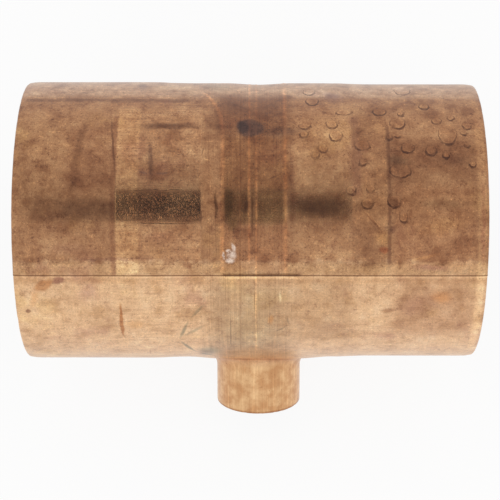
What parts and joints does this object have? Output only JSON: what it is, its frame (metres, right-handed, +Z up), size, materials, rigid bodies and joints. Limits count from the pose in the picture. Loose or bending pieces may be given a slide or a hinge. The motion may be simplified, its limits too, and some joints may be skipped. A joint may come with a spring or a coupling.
{
  "type": "reducing tee",
  "caption": "Copper pipe fitting: a wide straight tube with a solder cup at each end and a far narrower outlet cup drawn from its side.",
  "frame": {"origin": "on the surface the fitting lies on, under the middle of its bounding box", "axes": "+X along the run's axis, away from the longer arm; +Z up from the surface; the outlet points to -Y and about 32 degrees down, with its rim on the surface"},
  "size_m": [0.1762, 0.1292, 0.1099],
  "materials": {
    "aged_copper": "satin, brown with handling and water marks"
  },
  "bodies": {
    "root": {"reducing_tee": "aged_copper"}
  },
  "joints": []
}
